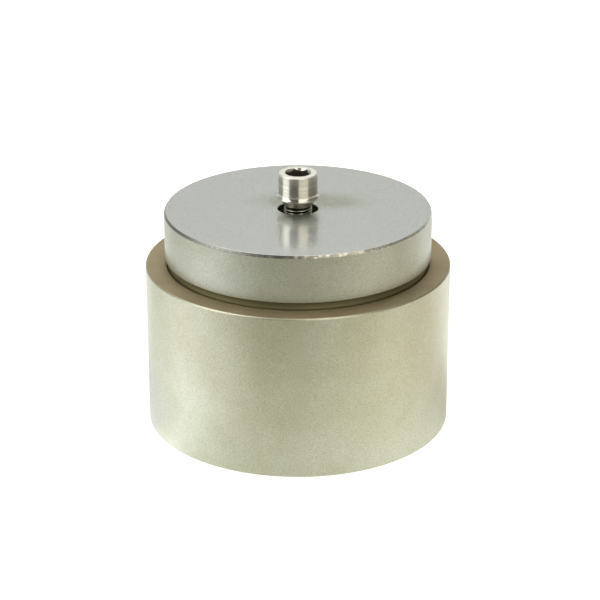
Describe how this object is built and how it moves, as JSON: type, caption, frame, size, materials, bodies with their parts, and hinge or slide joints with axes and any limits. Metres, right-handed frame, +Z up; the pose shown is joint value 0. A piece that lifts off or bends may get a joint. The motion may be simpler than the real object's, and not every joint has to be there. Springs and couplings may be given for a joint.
{
  "type": "candle mould",
  "caption": "Stepped round metal candle mould: a thick barrel with a loose bottom, closed by an overhanging plug with a hollow hex-socket wick screw.",
  "frame": {"origin": "centre of the face that the mould stands on", "axes": "+Z up along the axis of the barrel, the plug and the wick"},
  "size_m": [0.11, 0.11, 0.0934],
  "materials": {
    "blasted_aluminium": "bead-blasted and champagne anodised",
    "turned_aluminium": "fine turned, bare",
    "stainless_steel": "bright turned",
    "brass": "turned",
    "silicone": "matt, red"
  },
  "bodies": {
    "barrel": {"barrel": "blasted_aluminium"},
    "bottom": {"loose_bottom": "turned_aluminium", "bottom_seal": "silicone"},
    "bottom_washer": {"bottom_wick_washer": "silicone"},
    "bottom_screw": {"bottom_wick_screw": "brass"},
    "plug": {"plug_body": "blasted_aluminium", "plug_upper_seal": "silicone", "plug_lower_seal": "silicone", "plug_face": "turned_aluminium", "face_screws": "stainless_steel", "gland_insert": "brass", "insert_seal": "silicone", "insert_pins": "stainless_steel", "wick_seal": "silicone"},
    "gland_pad": {"pressure_pad": "brass", "pad_clip": "stainless_steel"},
    "gland_screw": {"wick_screw": "stainless_steel"}
  },
  "joints": [
    {"name": "bottom_eject", "type": "slide", "parent": "barrel", "child": "bottom", "axis": [0, 0, 1], "range_m": [0, 0.056]},
    {"name": "plug_lift", "type": "slide", "parent": "bottom", "child": "plug", "axis": [0, 0, 1], "range_m": [0, 0.075]},
    {"name": "pad_travel", "type": "slide", "parent": "plug", "child": "gland_pad", "axis": [0, 0, 1], "range_m": [-0.0025, 0.005], "deforming": ["wick_seal"]},
    {"name": "wick_screw_turn", "type": "hinge", "parent": "gland_pad", "child": "gland_screw", "pos_m": [0, 0, 0.08], "axis": [0, 0, 1], "range_deg": [-901, 1801]},
    {"name": "washer_travel", "type": "slide", "parent": "bottom", "child": "bottom_washer", "axis": [0, 0, 1], "range_m": [-0.0025, 0]},
    {"name": "bottom_screw_turn", "type": "hinge", "parent": "bottom_washer", "child": "bottom_screw", "pos_m": [0, 0, 0.008], "axis": [0, 0, 1], "range_deg": [-901, 1]}
  ],
  "couplings": [
    {"joint": "wick_screw_turn", "follows": "pad_travel", "rad_per_m": 6283.2},
    {"joint": "bottom_screw_turn", "follows": "washer_travel", "rad_per_m": 6283.2}
  ]
}
